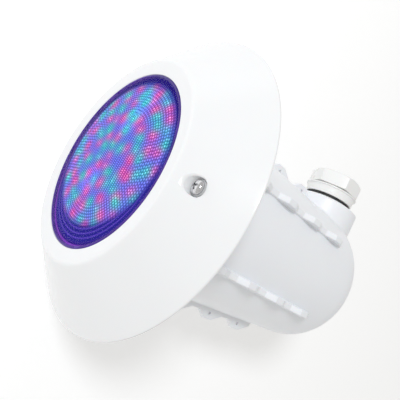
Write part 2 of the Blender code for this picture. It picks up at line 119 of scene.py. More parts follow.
def mesh_object(name, points, faces, sharp=35.0):
    """A mesh object from points in millimetres, clean and with its sharp edges marked."""
    mesh = bpy.data.meshes.new(name)
    mesh.from_pydata([(x * MM, y * MM, z * MM) for x, y, z in points], [], faces)
    form = bmesh.new()
    form.from_mesh(mesh)
    bmesh.ops.remove_doubles(form, verts=form.verts, dist=1e-6)
    bmesh.ops.dissolve_degenerate(form, dist=1e-7, edges=form.edges)
    bmesh.ops.recalc_face_normals(form, faces=form.faces)
    form.to_mesh(mesh)
    form.free()
    mesh.shade_smooth()
    mesh.set_sharp_from_angle(angle=math.radians(sharp))
    obj = bpy.data.objects.new(name, mesh)
    bpy.context.scene.collection.objects.link(obj)
    return obj


def grid_faces(rows, columns, closed=False):
    """Quads between rows of points that each run once round; closed joins the last row to the first."""
    faces = []
    for row in range(rows if closed else rows - 1):
        after = (row + 1) % rows
        for step in range(columns):
            ahead = (step + 1) % columns
            faces.append((row * columns + step, row * columns + ahead,
                          after * columns + ahead, after * columns + step))
    return faces


def skinned(name, rows, place, capped=False, sharp=35.0):
    """A surface over rows of (r, h), each row running once round; capped closes the last row."""
    columns = len(rows[0])
    points = []
    for row in rows:
        for step, (r, h) in enumerate(row):
            points.append(place(r, h, math.tau * step / columns))
    faces = grid_faces(len(rows), columns)
    if capped:
        last = (len(rows) - 1) * columns
        faces.append(tuple(last + step for step in range(columns)))
    return mesh_object(name, points, faces, sharp)


def brick(name, half_width, heights, depths):
    """A plain rectangular block between two heights and two depths."""
    points = []
    for z in depths:
        for y in heights:
            points += [(-half_width, y, z), (half_width, y, z)]
    return mesh_object(name, points, [(0, 1, 3, 2), (4, 6, 7, 5), (0, 4, 5, 1), (2, 3, 7, 6),
                                      (0, 2, 6, 4), (1, 5, 7, 3)])


def turned(name, outline, place=on_light_axis, segments=128, closed=True, limit=None):
    """A turned surface.  limit(r, turn) may change the radius, for flats."""
    points = []
    for r, h in outline:
        for step in range(segments):
            turn = math.tau * step / segments
            radius = limit(r, turn) if limit else r
            points.append(place(radius, h, turn))
    return mesh_object(name, points, grid_faces(len(outline), segments, closed))


def cut(obj, *tools, operation="DIFFERENCE"):
    """Boolean cuts, or a union, applied at once; the tools are removed."""
    for tool in tools:
        modifier = obj.modifiers.new("cut", "BOOLEAN")
        modifier.operation, modifier.object, modifier.solver = operation, tool, "EXACT"
        bpy.context.view_layer.objects.active = obj
        bpy.ops.object.modifier_apply(modifier=modifier.name)
        bpy.data.objects.remove(tool, do_unlink=True)
    obj.data.shade_smooth()
    obj.data.set_sharp_from_angle(angle=math.radians(32))


def joined(obj, *others):
    """One object from several meshes."""
    form = bmesh.new()
    form.from_mesh(obj.data)
    for other in others:
        form.from_mesh(other.data)
    form.to_mesh(obj.data)
    form.free()
    for other in others:
        bpy.data.objects.remove(other, do_unlink=True)
    return obj


# ---- materials ------------------------------------------------------------------------------------
def principled(name):
    """A new material with its node tree and its Principled shader."""
    material = bpy.data.materials.new(name)
    material.use_nodes = True
    tree = material.node_tree
    return material, tree, tree.nodes["Principled BSDF"]


def noise(tree, scale, detail=2.0, stretch=None):
    """A noise factor over the object, stretched along its axes if asked."""
    coordinates = tree.nodes.new("ShaderNodeTexCoord")
    texture = tree.nodes.new("ShaderNodeTexNoise")
    texture.inputs["Scale"].default_value = scale
    texture.inputs["Detail"].default_value = detail
    source = coordinates.outputs["Object"]
    if stretch:
        mapping = tree.nodes.new("ShaderNodeMapping")
        mapping.inputs["Scale"].default_value = stretch
        tree.links.new(source, mapping.inputs["Vector"])
        source = mapping.outputs["Vector"]
    tree.links.new(source, texture.inputs["Vector"])
    return texture.outputs["Fac"]


def ramp(tree, factor, *stops):
    """Colour stops (position, colour) over a factor."""
    node = tree.nodes.new("ShaderNodeValToRGB")
    while len(node.color_ramp.elements) < len(stops):
        node.color_ramp.elements.new(0.5)
    for element, (position, colour) in zip(node.color_ramp.elements, stops):
        element.position = position
        element.color = (*colour, 1.0)
    tree.links.new(factor, node.inputs["Fac"])
    return node.outputs["Color"]


def level(tree, factor, low, high):
    """The middle of a noise factor spread over low to high."""
    node = tree.nodes.new("ShaderNodeMapRange")
    for socket, value in (("From Min", 0.3), ("From Max", 0.7), ("To Min", low), ("To Max", high)):
        node.inputs[socket].default_value = value
    tree.links.new(factor, node.inputs["Value"])
    return node.outputs["Result"]


def bump(tree, shader, height, strength, distance, before=None):
    """Bump on the shader, over an earlier bump if one is given; returns its normal."""
    node = tree.nodes.new("ShaderNodeBump")
    node.inputs["Strength"].default_value = strength
    node.inputs["Distance"].default_value = distance
    tree.links.new(height, node.inputs["Height"])
    if before:
        tree.links.new(before, node.inputs["Normal"])
    tree.links.new(node.outputs["Normal"], shader.inputs["Normal"])
    return node.outputs["Normal"]


def moulded_plastic(name, pale, shade, rough, grain, coat=0.0):
    """Moulded plastic: slight tone drift, uneven gloss, faint waviness and a fine skin grain."""
    material, tree, shader = principled(name)
    drift = noise(tree, 9.0, 3.0)
    tree.links.new(ramp(tree, drift, (0.3, shade), (0.7, pale)), shader.inputs["Base Color"])
    tree.links.new(level(tree, noise(tree, 45.0, 4.0), rough[0], rough[1]), shader.inputs["Roughness"])
    wave = bump(tree, shader, noise(tree, 28.0, 1.0), 0.10, 0.0006)
    bump(tree, shader, noise(tree, 2600.0, 2.0), grain, 0.00004, wave)
    shader.inputs["Subsurface Weight"].default_value = 0.04
    shader.inputs["Subsurface Scale"].default_value = 0.003
    shader.inputs["Coat Weight"].default_value = coat
    shader.inputs["Coat Roughness"].default_value = 0.08
    return material


def metal(name, pale, shade, rough, stretch=None):
    """Machined metal with fine tool lines in its tone and gloss."""
    material, tree, shader = principled(name)
    lines = noise(tree, 900.0, 3.0, stretch)
    tree.links.new(ramp(tree, lines, (0.35, shade), (0.65, pale)), shader.inputs["Base Color"])
    tree.links.new(level(tree, lines, rough[0], rough[1]), shader.inputs["Roughness"])
    bump(tree, shader, lines, 0.15, 0.00002)
    shader.inputs["Metallic"].default_value = 1.0
    return material


def rubber(name, pale, shade):
    """Matt moulded rubber with a fine grain."""
    material, tree, shader = principled(name)
    tree.links.new(ramp(tree, noise(tree, 160.0, 4.0), (0.35, shade), (0.65, pale)),
                   shader.inputs["Base Color"])
    tree.links.new(level(tree, noise(tree, 700.0, 3.0), 0.45, 0.62), shader.inputs["Roughness"])
    bump(tree, shader, noise(tree, 2200.0, 3.0), 0.2, 0.00005)
    return material


def circuit_board(name, pale, shade, track):
    """Lacquered board with faint copper tracks under the lacquer."""
    material, tree, shader = principled(name)
    coordinates = tree.nodes.new("ShaderNodeTexCoord")
    cells = tree.nodes.new("ShaderNodeTexVoronoi")
    cells.distance = "CHEBYCHEV"
    cells.feature = "DISTANCE_TO_EDGE"
    cells.inputs["Scale"].default_value = 160.0
    tree.links.new(coordinates.outputs["Object"], cells.inputs["Vector"])
    tree.links.new(ramp(tree, cells.outputs["Distance"], (0.02, track), (0.05, shade), (0.6, pale)),
                   shader.inputs["Base Color"])
    tree.links.new(level(tree, noise(tree, 300.0), 0.25, 0.4), shader.inputs["Roughness"])
    bump(tree, shader, cells.outputs["Distance"], 0.15, 0.00003)
    return material


def lens_glass(name):
    """The clear outer skin of the lens."""
    material, tree, shader = principled(name)
    shader.inputs["Base Color"].default_value = (0.97, 0.97, 1.0, 1.0)
    shader.inputs["Transmission Weight"].default_value = 1.0
    shader.inputs["IOR"].default_value = 1.04
    shader.inputs["Specular IOR Level"].default_value = 0.12
    tree.links.new(level(tree, noise(tree, 60.0, 3.0), 0.0, 0.015), shader.inputs["Roughness"])
    bump(tree, shader, noise(tree, 20.0, 1.0), 0.02, 0.0002)
    return material


def glowing_prisms(name):
    """The inside of the lens with the LEDs' light painted in as emission: its colour is worked out point by
    point on the mesh.
    """
    material, tree, shader = principled(name)
    glow = tree.nodes.new("ShaderNodeVertexColor")
    glow.layer_name = "glow"
    tree.links.new(glow.outputs["Color"], shader.inputs["Emission Color"])
    shader.inputs["Emission Strength"].default_value = 1.0
    shader.inputs["Base Color"].default_value = (0.004, 0.002, 0.02, 1.0)
    shader.inputs["Specular IOR Level"].default_value = 0.0
    tree.links.new(level(tree, noise(tree, 500.0), 0.25, 0.4), shader.inputs["Roughness"])
    return material


def lit_rim(name):
    """The thick moulded edge of the lens, with a faint painted violet glow."""
    material, tree, shader = principled(name)
    tone = noise(tree, 40.0, 2.0)
    # painted glow: violet emission on the lens edge
    tree.links.new(ramp(tree, tone, (0.35, (0.020, 0.008, 0.11)), (0.65, (0.05, 0.016, 0.20))),
                   shader.inputs["Emission Color"])
    shader.inputs["Emission Strength"].default_value = 0.9
    tree.links.new(ramp(tree, tone, (0.3, (0.02, 0.008, 0.10)), (0.7, (0.04, 0.012, 0.15))),
                   shader.inputs["Base Color"])
    shader.inputs["Specular IOR Level"].default_value = 0.2
    tree.links.new(level(tree, tone, 0.2, 0.3), shader.inputs["Roughness"])
    return material


LOOKS = {
    "ring_white": moulded_plastic("ring_gloss_white", (0.85, 0.857, 0.865), (0.83, 0.837, 0.845),
                                  (0.16, 0.24), 0.05, coat=0.25),
    "niche_white": moulded_plastic("niche_satin_white", (0.88, 0.895, 0.925), (0.85, 0.865, 0.895),
                                   (0.28, 0.40), 0.12),
    "gland_white": moulded_plastic("gland_white", (0.90, 0.90, 0.89), (0.86, 0.86, 0.845),
                                   (0.26, 0.36), 0.10),
    "seal_black": rubber("seal_black", (0.02, 0.02, 0.021), (0.008, 0.008, 0.008)),
    "seal_grey": rubber("seal_grey", (0.56, 0.57, 0.58), (0.48, 0.49, 0.50)),
    "stainless": metal("polished_stainless", (0.74, 0.74, 0.75), (0.60, 0.60, 0.62), (0.06, 0.16)),
    "brass": metal("turned_brass", (0.80, 0.60, 0.27), (0.62, 0.43, 0.17), (0.14, 0.28)),
    "aluminium": metal("rolled_aluminium", (0.80, 0.81, 0.82), (0.68, 0.69, 0.70), (0.25, 0.4),
                       stretch=(1.0, 1.0, 0.03)),
    "board_white": circuit_board("white_board", (0.85, 0.86, 0.86), (0.80, 0.81, 0.81),
                                 (0.70, 0.72, 0.70)),
    "board_green": circuit_board("green_board", (0.03, 0.24, 0.10), (0.02, 0.17, 0.07),
                                 (0.10, 0.36, 0.16)),
    "lens_glass": lens_glass("lens_clear"),
    "lens_glow": glowing_prisms("lens_prisms_lit"),
    "lens_rim": lit_rim("lens_rim_violet"),
}


def dress(obj, look, body, slot, *replaced):
    """Gives a piece its look (one material slot), its body and the CAD nodes it stands for; the slot argument
    is not used.
    """
    obj.data.materials.clear()
    obj.data.materials.append(LOOKS[look])
    for face in obj.data.polygons:
        face.material_index = 0
    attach(obj, body)
    if replaced:
        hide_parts(*replaced)


# ---- face ring ------------------------------------------------------------------------------------
def flank(radius, inset=0.0):
    """Height of the ring's flank in front of the wall, `inset` below its outer surface."""
    return RING_HEIGHT - (radius - CREASE_R) * FLANK_SLOPE - inset * math.hypot(1.0, FLANK_SLOPE)


def pocket_cutter():
    """The screw pocket: flat floor, round wall and an edge that rolls over into the flank."""
    corner, roll, segments = 1.2, 1.5, 96
    rows = []
    for r in (0.0, 3.6, POCKET_R - corner):
        rows.append([(r, -POCKET_FLOOR)] * segments)
    for step in range(1, 6):
        turn = math.pi / 2 * step / 5
        rows.append([(POCKET_R - corner + corner * math.sin(turn),
                      -(POCKET_FLOOR + corner * (1 - math.cos(turn))))] * segments)
    for turn_deg in (0.0, 12.0, 26.0, 40.0, 54.0, 68.0):
        turn = math.radians(turn_deg)
        row = []
        for step in range(segments):
            around = math.tau * step / segments
            r = POCKET_R + roll * (1 - math.cos(turn))
            surface = flank(math.hypot(r * math.cos(around), SCREW_Z + r * math.sin(around)))
            row.append((r, -max(surface - roll * (1 - math.sin(turn)), POCKET_FLOOR + 1.3)))
        rows.append(row)
    rows.append([(r + 1.6, h - 4.0) for r, h in rows[-1]])
    rows.append([(r, -50.0) for r, h in rows[-1]])
    return skinned("pocket_cutter", rows, around_screw, capped=True)


def screw_post():
    """The solid post behind the pocket; its top follows the ring's flank just under the surface."""
    radius, low, cover, ease, segments = 11.0, 5.6, 1.4, 0.6, 64
    top = []
    for step in range(segments):
        around = math.tau * step / segments
        reach = math.hypot(radius * math.cos(around), SCREW_Z + radius * math.sin(around))
        top.append((radius, -flank(reach, cover)))
    rows = [[(0.0, -low)] * segments, [(radius - ease, -low)] * segments,
            [(radius, -(low + ease))] * segments, top, [(0.0, -flank(SCREW_Z, cover))] * segments]
    return skinned("screw_post", rows, around_screw)


def upright(name, radius, low, high, at, segments=48, ease=0.0):
    """A solid round bar along the light's axis from height low to high in front of the wall."""
    outline = rounded([(0.0, -low), (radius, -low, ease), (radius, -high, ease), (0.0, -high)],
                      3, closed=False)
    return turned(name, outline, lambda r, h, turn: on_light_axis(r, h, turn, at), segments,
                  closed=False)


def clamp_sites():
    """The places (x, z) of the clamp ring's screws."""
    turns = [math.tau * index / CLAMP_SCREWS for index in range(CLAMP_SCREWS)]
    return [(CLAMP_CIRCLE * math.cos(turn), CLAMP_CIRCLE * math.sin(turn)) for turn in turns]


def build_ring():
    """The face ring with its screw pocket, the clamp screws' posts and the tongue at the bottom."""
    top, lip = RING_HEIGHT - 1.4, RING_HEIGHT - 4.6
    outline = rounded([
        (LENS_R + 0.3, -top, 0.8), (CREASE_R, -RING_HEIGHT, 5.0), (RING_R, -1.5, 1.3), (RING_R, 0.0, 0.3),
        (RING_R - 3.4, 0.0, 0.3), (CREASE_R - 1.0, -flank(CREASE_R - 1.0, RING_WALL), 2.0),
        (CREASE_R - 4.0, -lip), (LENS_R + 0.3, -lip, 0.4)], 8)
    ring = turned("ring_shell", divided(outline, 2.4), segments=288)
    cut(ring, screw_post(), operation="UNION")
    cut(ring, pocket_cutter(), upright("bore", 3.4, 0.0, 30.0, (0.0, SCREW_Z)))
    inner = [upright(f"clamp_post_{index}", 4.6, 28.5, 36.9, site, 40, 0.4)
             for index, site in enumerate(clamp_sites())]
    inner.append(brick("tongue", 12.0, (-0.4, -flank(TONGUE_Z, 0.8)), (-TONGUE_Z, 3.0 - TONGUE_Z)))
    dress(joined(ring, *inner), "ring_white", "light", "ring_white", "face_ring")


# ---- lens -----------------------------------------------------------------------------------------
def crown(radius):
    """Height of the lens's outer surface above the wall plane."""
    rise = 1.0 - (radius / LENS_R) ** 2
    return RING_HEIGHT - 1.6 + 4.7 * rise


LED_RINGS = ((0.0, 1), (17.0, 5), (34.0, 11), (51.0, 16), (66.0, 20))
RED, GREEN, BLUE = (0.80, 0.045, 0.40), (0.01, 0.56, 0.56), (0.14, 0.17, 0.92)
# colour, distance from the package's middle and square of the spread, for each patch of light
PATCHES = ((RED, 3.4, 30.0), (GREEN, 3.8, 30.0), (RED, 6.2, 16.0), (GREEN, 7.0, 16.0))
BAND, GROOVE_LIGHT, RIM_SHADE, RIM_HIGHLIGHT = ((0.024, 0.020, 0.25), (0.13, 0.07, 0.58),
                                            (0.018, 0.008, 0.17), (0.22, 0.05, 0.50))
GLOW_CENTRE, GLOW_R, GROOVES_FROM = (-6.0, -1.5), 68.0, 63.0
PILLOW_LONG, PILLOW_SHORT, GROOVE_PITCH = 3.3, 1.75, 3.9
BEAD_RING, BEAD_LENGTH, RIPPLE_PITCH = 2.6, 3.0, 3.4
LENS_EDGE, PRISM_DEPTH = 2.1, 3.1
RIPPLE_CENTRES = ((-35.0, 3.0), (23.0, -12.0), (-54.0, 9.0))


def scatter(index, low, high):
    """A repeatable spread of values between low and high."""
    return low + (high - low) * ((index * 0.6180339887) % 1.0)


def led_sites():
    """The lamp's three-colour LEDs: (x, z, turn of the package) on rings."""
    sites = []
    for ring, (radius, count) in enumerate(LED_RINGS):
        for index in range(count):
            number = len(sites)
            turn = math.tau * (index + 0.4 * ring) / count
            reach = radius + (scatter(number * 3, -2.2, 2.2) if radius else 0.0)
            sites.append((GLOW_CENTRE[0] + reach * math.cos(turn),
                          GLOW_CENTRE[1] + reach * math.sin(turn), scatter(number, 0.0, math.tau)))
    return sites


def smooth(low, high, value):
    """0 below low, 1 above high, with a soft step between."""
    t = np.clip((value - low) / (high - low), 0.0, 1.0)
    return t * t * (3 - 2 * t)


def blend(first, second, weight):
    """Colours mixed point by point."""
    return first + (np.asarray(second) - first) * weight[..., None]


def beads(x, z, radius):
    """1 on top of an inner bead, 0 between: pillows in the middle, rings of beads further out."""
    row = np.floor(z / PILLOW_LONG)
    pillow = np.cos(math.pi * (z / PILLOW_LONG - row - 0.5)) ** 2
    pillow = pillow * np.cos(math.pi * (x / PILLOW_SHORT + 0.5 * (row % 2))) ** 2
    ring = np.floor(radius / BEAD_RING)
    count = np.maximum(1.0, np.round(math.tau * (ring + 0.5) * BEAD_RING / BEAD_LENGTH))
    turn = np.arctan2(z, x)
    rings = np.sin(math.pi * (radius / BEAD_RING - ring)) ** 2 * np.cos(count * turn / 2 + ring) ** 2
    return pillow + (rings - pillow) * smooth(40.0, 46.0, radius)


def grooves(radius):
    """1 on the crest of a groove of the lens's outer band."""
    return np.exp(-((radius % GROOVE_PITCH - GROOVE_PITCH / 2) / 0.62) ** 2)


def glow_colours(x, z):
    """The lens's colour at points x, z, with the LEDs' light painted in: a lit pool, bright spots and bead
    tops.
    """
    radius = np.hypot(x, z)
    mask = beads(x, z, radius)
    colour = np.zeros(x.shape + (3,)) + BLUE
    spark = np.zeros(x.shape)
    for number, (sx, sz, turn) in enumerate(led_sites()):
        for patch, (tone, away, spread) in enumerate(PATCHES):
            angle = turn + (patch % 2) * math.pi + (0.5 if patch > 1 else 0.0)
            across = (z - sz - away * math.sin(angle)) / 1.25
            gap = (x - sx - away * math.cos(angle)) ** 2 + across ** 2
            strength = scatter(number * 5 + patch, 0.28, 0.92)
            colour = blend(colour, tone, strength * np.exp(-gap / spread))
            spark += scatter(number * 7 + patch * 2, 0.2, 1.0) * np.exp(-gap / 2.6)
    ripple = np.zeros(x.shape)
    for cx, cz in RIPPLE_CENTRES:
        away = np.hypot(x - cx, z - cz)
        ripple += (0.5 + 0.5 * np.cos(math.tau * away / RIPPLE_PITCH)) * (1.0 - smooth(9.0, 17.0, away))
    # painted light: bead tops, ripples and the spots by the LEDs made brighter, and bead tops whitened
    light = 0.55 + 1.05 * mask + 0.40 * ripple + 0.75 * spark * mask
    colour = colour * light[..., None]
    colour += np.array((0.30, 0.42, 0.32)) * (mask * (0.30 + 1.1 * spark))[..., None]
    deep = np.zeros(x.shape + (3,)) + BAND
    # painted light on the groove crests of the outer band, on the +x side only
    deep = blend(deep, GROOVE_LIGHT, grooves(radius) * smooth(0.0, 45.0, x) * 0.8)
    # painted pool of light round the glow centre, with the deep blue band outside it
    away = np.hypot(x - GLOW_CENTRE[0], 0.9 * (z - GLOW_CENTRE[1]))
    lit = 1.0 - smooth(GLOW_R - 6.0, GLOW_R + 2.0, away)
    shown = blend(deep, colour, lit)
    shown = blend(shown, RIM_SHADE, smooth(LENS_R - 7.0, LENS_R - 5.0, radius) * 0.8)
    # painted highlight: a thin violet reflection on the rounded lens edge, on the +x side only
    rim_highlight = smooth(LENS_R - 4.4, LENS_R - 3.4, radius) * smooth(-60.0, 60.0, x) * 0.9
    return blend(shown, RIM_HIGHLIGHT, rim_highlight)


def build_lens():
    """The clear cover of the lens and its thick moulded edge."""
    rim = LENS_R - LENS_EDGE
    radii = [rim * part for part in (0.0, 0.1, 0.2, 0.3, 0.4, 0.5, 0.6, 0.7, 0.8, 0.88, 0.95, 0.99)]
    outer = [Vector((r, -crown(r))) for r in radii] + [Vector((rim, -crown(rim) + 0.35))]
    inner = [Vector((rim, -crown(rim) + 1.2))] + [Vector((r, -crown(r) + 1.6)) for r in radii[::-1]]
    cover = turned("lens_cover", outer + inner, segments=192, closed=False)
    dress(cover, "lens_glass", "light", "lens_blue", "lens")
    top = crown(rim)
    edge = rounded([(rim + 0.1, -top + 2.6), (rim + 0.1, -top, 0.3), (LENS_R, -top, 0.8), (LENS_R, -37.3),
                    (87.0, -37.3), (87.0, -34.3), (rim - 0.2, -34.3), (rim - 0.2, -top + 2.6)], 5)
    dress(turned("lens_edge", edge, segments=256), "lens_rim", "light", "lens_blue")


def build_lens_prisms():
    """The patterned inside of the lens, with its lit colour worked out point by point."""
    rows, columns = ((200, 1200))
    radius = np.linspace(0.0, LENS_R - LENS_EDGE, rows + 1)[:, None]
    turn = np.linspace(0.0, math.tau, columns, endpoint=False)[None, :]
    x, z = radius * np.cos(turn), radius * np.sin(turn)
    radius = np.hypot(x, z)
    height = crown(radius) - PRISM_DEPTH + np.where(radius < GROOVES_FROM, 0.5 * beads(x, z, radius),
                                                    0.25 * grooves(radius))
    points = np.stack([x, -height, z], axis=-1).reshape(-1, 3) * MM
    colours = np.concatenate([glow_colours(x, z), np.ones(x.shape + (1,))], axis=-1)
    faces = [(b, a, d, c) for a, b, c, d in grid_faces(rows + 1, columns)]
    mesh = bpy.data.meshes.new("lens_prisms")
    mesh.from_pydata(points.tolist(), [], faces)
    layer = mesh.color_attributes.new("glow", "FLOAT_COLOR", "POINT")
    layer.data.foreach_set("color", colours.reshape(-1).astype(np.float32))
    mesh.shade_smooth()
    prisms = bpy.data.objects.new("lens_prisms", mesh)
    bpy.context.scene.collection.objects.link(prisms)
    dress(prisms, "lens_glow", "light", "lens_blue")


# ---- face screw -----------------------------------------------------------------------------------
def build_face_screw():
    """The pan-head screw with its cross recess."""
    head, seat, edge = 5.6, -SCREW_SEAT, -SCREW_SEAT - 0.9
    turns = [math.pi / 2 * step / 14 for step in range(15)]
    dome = [Vector((head * math.sin(turn), edge - 3.5 * math.cos(turn))) for turn in turns]
    shank = rounded([(head, edge), (head, seat, 0.25), (3.0, seat, 0.3), (3.0, 5.0), (2.1, 6.5),
                     (0.0, 6.5)], 3, closed=False)[1:]
    screw = turned("screw_body", dome + shank, around_screw, 96, closed=False)
    slots = []
    for turn in (0.35, 0.35 + math.pi / 2):
        corners = []
        for depth, half_long, half_wide in ((seat - 1.9, 1.9, 0.65), (seat - 6.0, 4.2, 1.0)):
            for u, v in ((-1, -1), (1, -1), (1, 1), (-1, 1)):
                a, b = u * half_long, v * half_wide
                corners.append((a * math.cos(turn) - b * math.sin(turn), depth,
                                SCREW_Z + a * math.sin(turn) + b * math.cos(turn)))
        slots.append(mesh_object("slot", corners, [(0, 1, 2, 3), (4, 7, 6, 5), (0, 4, 5, 1),
                                                   (1, 5, 6, 2), (2, 6, 7, 3), (3, 7, 4, 0)]))
    cut(screw, *slots)
    dress(screw, "stainless", "face_screw_turning", "stainless", "face_screw")


# ---- niche ----------------------------------------------------------------------------------------
def niche_radius(depth):
    """The niche's outer radius, its rounded back end included."""
    straight = NICHE_FRONT + (NICHE_BACK - NICHE_FRONT) * depth / NICHE_DEPTH
    start = NICHE_DEPTH - NICHE_ROUND
    if depth <= start:
        return straight
    along = min(1.0, (depth - start) / NICHE_ROUND)
    return straight - NICHE_ROUND * (1 - math.sqrt(max(0.0, 1 - along ** 2)))


def rib_height(depth):
    """How far a rib's edge stands above the niche wall at a depth."""
    height = RIB_PROUD
    for index in range(LUG_COUNT):
        along = depth - LUG_FIRST - LUG_PITCH * index
        for (a0, h0), (a1, h1) in zip(LUG_OUTLINE, LUG_OUTLINE[1:]):
            if a0 <= along <= a1:
                height = RIB_PROUD + h0 + (h1 - h0) * (along - a0) / (a1 - a0)
    ends = min(depth - RIB_START, RIB_END - depth)
    return max(0.0, min(height, ends * 9.0))


def rib_section(radius, offset, top):
    """A rib's section (across, height) at one depth: filleted feet and a rounded edge."""
    foot, ease = 1.8, 0.8

    def sunk(across):
        return math.sqrt(radius ** 2 - (offset + across) ** 2) - RIB_SINK

    sides = []
    for sign in (1.0, -1.0):
        half = []
        for step in range(6):
            turn = math.pi / 2 * step / 5
            across = sign * (RIB_HALF + foot * (1 - math.sin(turn)))
            half.append((across, sunk(across) + foot * (1 - math.cos(turn))))
        for step in range(5):
            turn = math.pi / 2 * step / 4
            across = sign * (RIB_HALF - ease * (1 - math.cos(turn)))
            half.append((across, max(top - ease * (1 - math.sin(turn)), sunk(across))))
        sides.append(half)
    if top < max(half[5][1] for half in sides) + ease:
        sides = [[(a, min(h, max(sunk(a), top))) for a, h in half] for half in sides]
    return sides[0] + sides[1][::-1]


def drilled(rib, out):
    """Fixing holes through the lugs of a rib."""
    drills = []
    for index in range(LUG_COUNT):
        depth = LUG_FIRST + LUG_PITCH * index - 1.0
        reach = (niche_radius(depth) + RIB_PROUD + 0.8) * out[0]
        outline = [Vector((0.0, -9.0)), Vector((1.7, -9.0)), Vector((1.7, 9.0)), Vector((0.0, 9.0))]
        place = lambda r, h, turn: (reach + r * math.cos(turn), depth + r * math.sin(turn), h)
        drills.append(turned("drill", outline, place, 24, closed=False))
    cut(rib, *drills)


def build_rib(name, out, side, offset, holes):
    """A rib along the niche: rounded edge, filleted foot.  out and side are unit directions (x, z)."""
    depths = [RIB_START + (RIB_END - RIB_START) * step / 385 for step in range(386)]
    depths = sorted(depths + [RIB_START + 0.15, RIB_START + 0.5, RIB_END - 0.5, RIB_END - 0.15])
    points, width = [], 0
    for depth in depths:
        radius = niche_radius(depth)
        foot_height = radius if holes else math.sqrt(radius ** 2 - offset ** 2)
        section = rib_section(radius, offset, foot_height + rib_height(depth))
        width = len(section)
        for across, height in section:
            points.append((out[0] * height + side[0] * (offset + across), depth,
                           out[1] * height + side[1] * (offset + across)))
    last = len(depths) - 1
    faces = []
    for row in range(last):
        for step in range(width - 1):
            faces.append((row * width + step, row * width + step + 1,
                          (row + 1) * width + step + 1, (row + 1) * width + step))
    for row in range(last):
        faces.append((row * width, (row + 1) * width, (row + 2) * width - 1, (row + 1) * width - 1))
    faces.append(tuple(range(width)))
    faces.append(tuple(range(last * width, (last + 1) * width)))
    rib = mesh_object(name, points, faces, 50)
    if holes:
        drilled(rib, out)
    return rib


def build_boss():
    """The outlet's boss: round wall that flares into the niche, stepped top and seal seat."""
    segments, bore = 144, 22.8
    outline = rounded([(bore, OUTLET_SEAT - 8.0), (bore, OUTLET_SEAT, 0.5), (28.5, OUTLET_SEAT, 0.8),
                       (BOSS_R, OUTLET_SEAT - 3.4, 2.2), (BOSS_R, OUTLET_SEAT - 12.0)], 5, closed=False)
    rows = [[(r, h)] * segments for r, h in outline]

    def ground(around, radius):
        """Distance from the light's axis out to the niche wall below the boss."""
        depth = OUTLET_Y + radius * math.cos(around)
        z = radius * math.sin(around)
        room = niche_radius(min(depth, NICHE_DEPTH)) ** 2 - z * z
        return math.sqrt(max(room, 20.0 ** 2)) if depth <= NICHE_DEPTH else 20.0

    for step in range(9):
        turn = math.pi / 2 * step / 8
        row = []
        for index in range(segments):
            around = math.tau * index / segments
            clear = NICHE_DEPTH - (OUTLET_Y + BOSS_R * math.cos(around))
            flare = 3.2 * smooth(1.0, 9.0, clear)
            radius = BOSS_R + flare * (1 - math.cos(turn))
            row.append((radius, ground(around, radius) - RIB_SINK + flare * (1 - math.sin(turn))))
        rows.append(row)
    tube = [Vector((bore, OUTLET_SEAT - 7.9)), Vector((bore, 66.0)), Vector((25.6, 66.0)),
            Vector((25.6, OUTLET_SEAT - 7.9))]
    return [skinned("boss", rows, on_outlet_axis, sharp=40),
            turned("boss_tube", tube, on_outlet_axis, 96)]


def build_niche():
    """The wall niche: cup and flange, six ribs, the outlet's boss and the screw insert's cup."""
    back, wall = NICHE_DEPTH, NICHE_WALL
    outline = rounded([
        (FLANGE_R, FLANGE_FRONT, 1.2), (FLANGE_R, 0.0, 1.2), (NICHE_FRONT, 0.0, 2.0),
        (NICHE_BACK, back, NICHE_ROUND), (0.0, back), (0.0, back - wall),
        (NICHE_BACK - wall, back - wall, NICHE_ROUND - wall),
        (NICHE_FRONT - wall, 0.0), (NICHE_FRONT - wall, FLANGE_FRONT, 1.0)], 14)
    shell = turned("niche_shell", divided(outline, 6.0), segments=192)
    bore = turned("bore", [Vector((0.0, 40.0)), Vector((23.2, 40.0)), Vector((23.2, 100.0)),
                           Vector((0.0, 100.0))], on_outlet_axis, 72, closed=False)
    insert = upright("insert", 5.1, -8.6, 8.0, (0.0, SCREW_Z))
    cut(shell, bore, insert, brick("slot", 12.6, (-8.0, 4.0), (-115.1, -110.9)))
    extras = [build_rib("rib", (out, 0.0), (0.0, 1.0), 0.0, True) for out in (-1.0, 1.0)]
    for out in (1.0, -1.0):
        for side in (1.0, -1.0):
            extras.append(build_rib("rib", (0.0, out), (side, 0.0), RIB_OFFSET, False))
    extras += build_boss()
    cup = [(5.1, -4.4), (5.1, 8.6), (0.0, 8.6), (0.0, 10.6), (8.0, 10.6, 0.6), (8.0, -0.5), (6.0, -4.4)]
    extras.append(turned("insert_cup", rounded(cup, 3), around_screw, 48))
    dress(joined(shell, *extras), "niche_white", "niche", "niche_white", "niche_body")


# ---- cable outlet ---------------------------------------------------------------------------------
def inside_hexagon(r, turn):
    """The radius r kept inside the cap nut's hexagon, whose corners are slightly rounded."""
    round_off = 1.4
    if r < NUT_FLATS / 2 - 3.0:
        return r
    sector = (turn - NUT_TURN + math.pi / 6) % (math.pi / 3) - math.pi / 6
    flat = NUT_FLATS / 2 / math.cos(sector)
    return min(r, flat) - round_off * 0.35 * math.exp(-abs(r - flat) / round_off)


